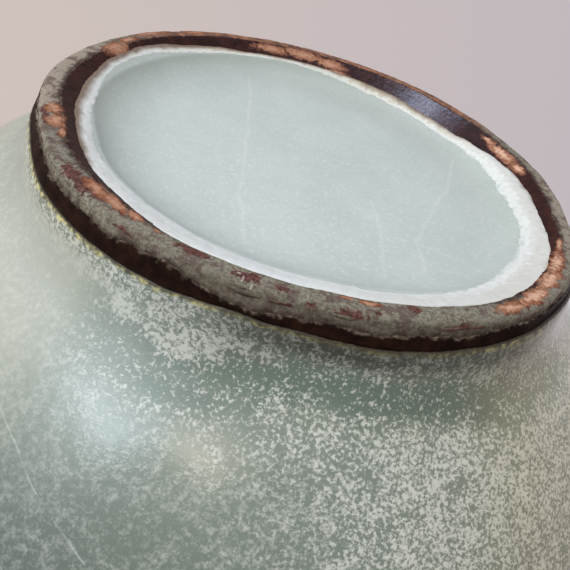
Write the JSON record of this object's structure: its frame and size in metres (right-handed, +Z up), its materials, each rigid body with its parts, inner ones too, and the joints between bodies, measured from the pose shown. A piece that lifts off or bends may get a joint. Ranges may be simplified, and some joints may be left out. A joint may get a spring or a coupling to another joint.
{
  "type": "celadon bottle vase",
  "caption": "Pear-shaped celadon bottle vase with a flared mouth, speckled grey-green glaze, and a low foot ring dressed iron-brown round a pale glazed base.",
  "frame": {"origin": "centre of the foot ring's resting face, on the vase's axis", "axes": "+Z up along the vase's axis, from the foot to the mouth; +X and +Y level"},
  "size_m": [0.2, 0.2, 0.3318],
  "materials": {
    "stoneware": "rough grey-olive stoneware body, worn, with rust-brown burnt patches",
    "luting_slip": "fired slip of the same clay",
    "foot_dressing": "iron-brown slip dressing, chocolate to nearly black, dull sheen",
    "celadon_glaze": "grey-green celadon glaze with dense whitish specks and sparse crackle, glossy under a satin bloom",
    "liner_glaze": "thinner celadon glaze inside",
    "lip_glaze": "celadon glaze run thin over the lip, browner",
    "base_glaze": "pale blue-green milky glaze with faint bubbles and beige crackle",
    "glaze_crust": "white, slightly crawled roll of glaze"
  },
  "bodies": {
    "root": {"foot_ring": "stoneware", "base_section": "stoneware", "lower_body": "stoneware", "upper_body": "stoneware", "neck_and_mouth": "stoneware", "foot_luting": "luting_slip", "base_luting": "luting_slip", "belly_luting": "luting_slip", "shoulder_luting": "luting_slip", "outer_foot_dressing": "foot_dressing", "inner_foot_dressing": "foot_dressing", "outer_glaze": "celadon_glaze", "inner_glaze": "liner_glaze", "lip_glaze": "lip_glaze", "base_glaze": "base_glaze", "base_glaze_roll": "glaze_crust"}
  },
  "joints": []
}
